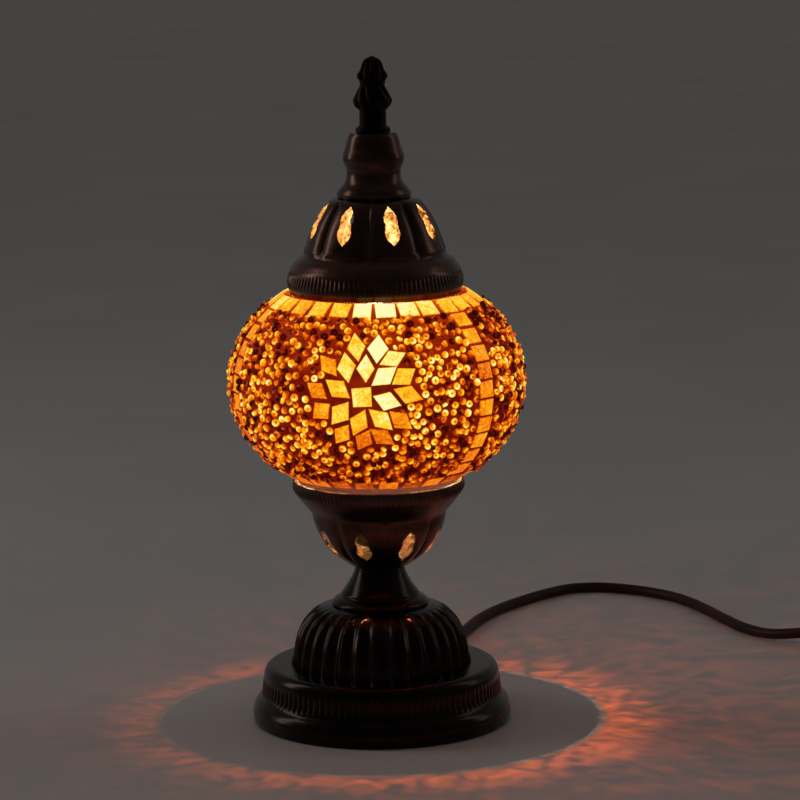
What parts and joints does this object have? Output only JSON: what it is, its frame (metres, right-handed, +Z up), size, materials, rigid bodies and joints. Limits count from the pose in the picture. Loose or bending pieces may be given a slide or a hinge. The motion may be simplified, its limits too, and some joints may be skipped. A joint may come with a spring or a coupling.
{
  "type": "mosaic glass table lamp",
  "caption": "Table lamp with a turned bronze foot, a pierced cup, an oval mosaic glass globe, a pierced lift-off cap with a finial, and a corded inline switch.",
  "frame": {"origin": "centre of the felt's underside", "axes": "+Z up along the lamp's axis; -Y is the side with the middle mosaic flower; the cord leaves at the back, +Y"},
  "size_m": [0.3914, 0.3605, 0.2873],
  "materials": {
    "antique_bronze": "dark antique bronze, glossy lacquer, worn redder on raised edges",
    "steel": "zinc plated",
    "raw_brass": "bare brass",
    "amber_glass": "clear blown glass",
    "mosaic": "amber glass tiles and seed beads in dark grout, lit from inside",
    "bulb_glass": "clear",
    "filament": "glowing filament",
    "felt": "felt",
    "cord_brown": "satin dark brown sheath",
    "black_plastic": "moulded",
    "ivory_plastic": "moulded",
    "rubber": "matt"
  },
  "bodies": {
    "stand": {"base_plate": "antique_bronze", "fluted_dome": "antique_bronze", "neck_skirt": "antique_bronze", "cup_gallery": "antique_bronze", "bottom_plate": "steel", "threaded_rod": "steel", "base_washer": "steel", "base_nut": "steel", "cup_washer": "steel", "cup_nut": "steel", "rocker_pin": "steel", "screw_shell": "raw_brass", "centre_contact": "raw_brass", "plug_pin_left": "raw_brass", "plug_pin_right": "raw_brass", "glass_globe": "amber_glass", "mosaic_layer": "mosaic", "felt_pad": "felt", "cord_run_lamp": "cord_brown", "cord_run_switch": "cord_brown", "cord_run_plug": "cord_brown", "cord_coil": "cord_brown", "inner_lead": "cord_brown", "holder_cap": "black_plastic", "holder_body": "black_plastic", "switch_base": "black_plastic", "switch_cover": "black_plastic", "plug_body": "black_plastic", "seat_ring": "rubber", "strain_relief": "rubber", "plug_relief": "rubber"},
    "cap": {"cap_dome": "antique_bronze", "cap_collar": "antique_bronze", "finial": "antique_bronze", "cap_stud": "steel", "cap_washer": "steel", "cap_nut": "steel"},
    "bulb": {"bulb_glass": "bulb_glass", "bulb_base": "raw_brass", "bulb_contact": "steel", "bulb_stem": "bulb_glass", "bulb_filament": "filament"},
    "rocker": {"switch_rocker": "ivory_plastic"}
  },
  "joints": [
    {"name": "cap_lift", "type": "slide", "parent": "stand", "child": "cap", "axis": [0, 0, 1], "range_m": [0, 0.08]},
    {"name": "bulb_lift", "type": "slide", "parent": "stand", "child": "bulb", "axis": [0, 0, 1], "range_m": [0, 0.012]},
    {"name": "switch_rock", "type": "hinge", "parent": "stand", "child": "rocker", "pos_m": [0.25113, 0.0994, 0.0135], "axis": [0.342, 0.9397, 0], "range_deg": [-8, 8]}
  ]
}
